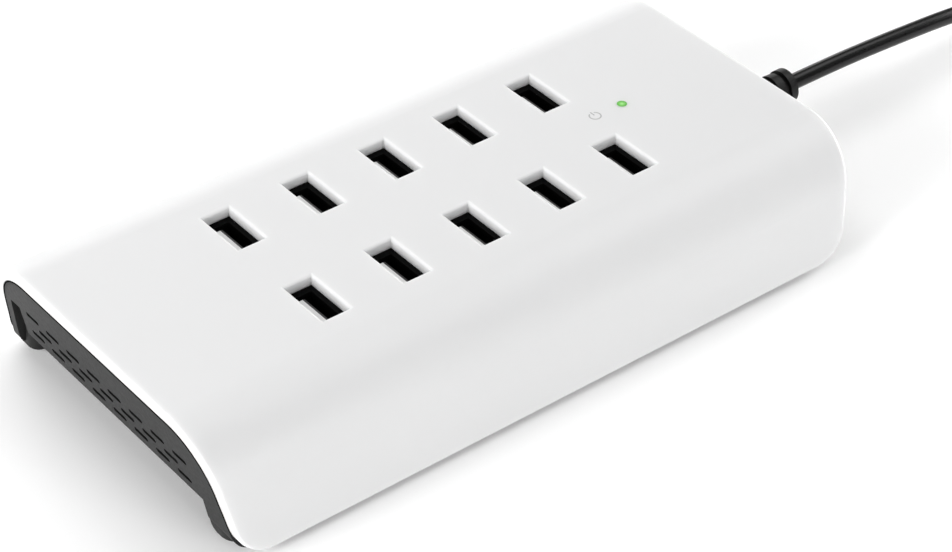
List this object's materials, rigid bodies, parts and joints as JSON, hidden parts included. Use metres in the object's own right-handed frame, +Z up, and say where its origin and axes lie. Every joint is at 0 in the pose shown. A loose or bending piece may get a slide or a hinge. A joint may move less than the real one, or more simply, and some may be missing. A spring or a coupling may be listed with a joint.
{
  "type": "usb charging station",
  "caption": "Desktop USB charger: low housing with rounded shoulders, leaning vented end caps, rows of upright USB-A ports, an indicator and a mains lead with its plug.",
  "frame": {"origin": "bottom centre of the housing, on the surface that its feet stand on, without the mains lead", "axes": "+X along the housing towards the mains lead, +Y towards its rear long side, +Z up"},
  "size_m": [0.4212, 0.1579, 0.036],
  "materials": {
    "cover": "satin moulded white",
    "base": "fine moulded texture",
    "end_cap": "fine moulded texture",
    "socket_can": "black plating",
    "socket_tongue": "moulded white",
    "contact": "gold plated",
    "light_pipe": "clear green",
    "lamp": "green lamp",
    "circuit_board": "green solder mask",
    "ferrite": "sintered",
    "winding": "enamelled copper",
    "capacitor": "black sleeve",
    "heat_sink": "mill finish",
    "fuse": "clear tube",
    "screw": "zinc plated",
    "foot": "matte",
    "strain_relief": "satin",
    "cord": "satin",
    "tie": "matte",
    "plug": "satin",
    "blade": "nickel plated"
  },
  "bodies": {
    "root": {"base": "base", "board_screws": "screw", "bulk_capacitors": "capacitor", "cord_coil": "cord", "cord_tie": "tie", "end_cap_left": "end_cap", "end_cap_right": "end_cap", "filter_choke": "winding", "heat_sink": "heat_sink", "housing_screws": "screw", "light_pipe": "light_pipe", "mains_fuse": "fuse", "mains_leads": "cord", "output_capacitors": "capacitor", "plug_blades": "blade", "plug_body": "plug", "port_board": "circuit_board", "power_board": "circuit_board", "power_cord": "cord", "power_led": "lamp", "rubber_foot_1": "foot", "rubber_foot_2": "foot", "rubber_foot_3": "foot", "rubber_foot_4": "foot", "strain_relief": "strain_relief", "top_cover": "cover", "transformer_core": "ferrite", "transformer_winding": "winding", "usb_contacts_01": "contact", "usb_contacts_02": "contact", "usb_contacts_03": "contact", "usb_contacts_04": "contact", "usb_contacts_05": "contact", "usb_contacts_06": "contact", "usb_contacts_07": "contact", "usb_contacts_08": "contact", "usb_contacts_09": "contact", "usb_contacts_10": "contact", "usb_shell_01": "socket_can", "usb_shell_02": "socket_can", "usb_shell_03": "socket_can", "usb_shell_04": "socket_can", "usb_shell_05": "socket_can", "usb_shell_06": "socket_can", "usb_shell_07": "socket_can", "usb_shell_08": "socket_can", "usb_shell_09": "socket_can", "usb_shell_10": "socket_can", "usb_tongue_01": "socket_tongue", "usb_tongue_02": "socket_tongue", "usb_tongue_03": "socket_tongue", "usb_tongue_04": "socket_tongue", "usb_tongue_05": "socket_tongue", "usb_tongue_06": "socket_tongue", "usb_tongue_07": "socket_tongue", "usb_tongue_08": "socket_tongue", "usb_tongue_09": "socket_tongue", "usb_tongue_10": "socket_tongue"}
  },
  "joints": []
}
